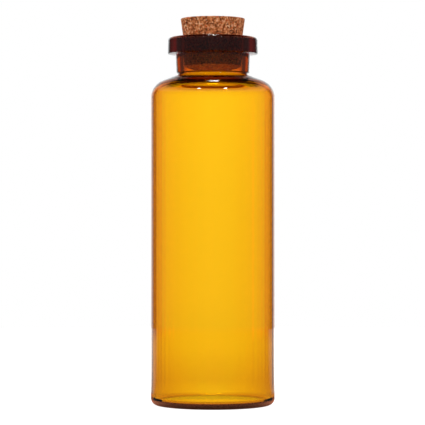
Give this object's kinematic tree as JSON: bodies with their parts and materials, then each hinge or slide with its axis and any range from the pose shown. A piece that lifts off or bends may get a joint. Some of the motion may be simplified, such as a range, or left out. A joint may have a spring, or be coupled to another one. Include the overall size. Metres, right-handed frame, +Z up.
{
  "type": "glass sample vial with cork stopper",
  "caption": "Empty amber glass vial: straight tube body, rounded shoulder, short neck and thick flat lip, closed by a tapered cork that pulls out upwards.",
  "frame": {"origin": "centre of the foot ring that the vial stands on, on the glass's axis", "axes": "+Z up along the glass's axis, out of the mouth; X and Y are alike, because the vial is round"},
  "size_m": [0.04, 0.04, 0.1249],
  "materials": {
    "amber_glass": "polished",
    "cork": "matte"
  },
  "bodies": {
    "vial": {"glass_vial": "amber_glass"},
    "stopper": {"cork_stopper": "cork"}
  },
  "joints": [
    {"name": "cork_pull", "type": "slide", "parent": "vial", "child": "stopper", "axis": [0, 0, 1], "range_m": [0, 0.03]}
  ]
}
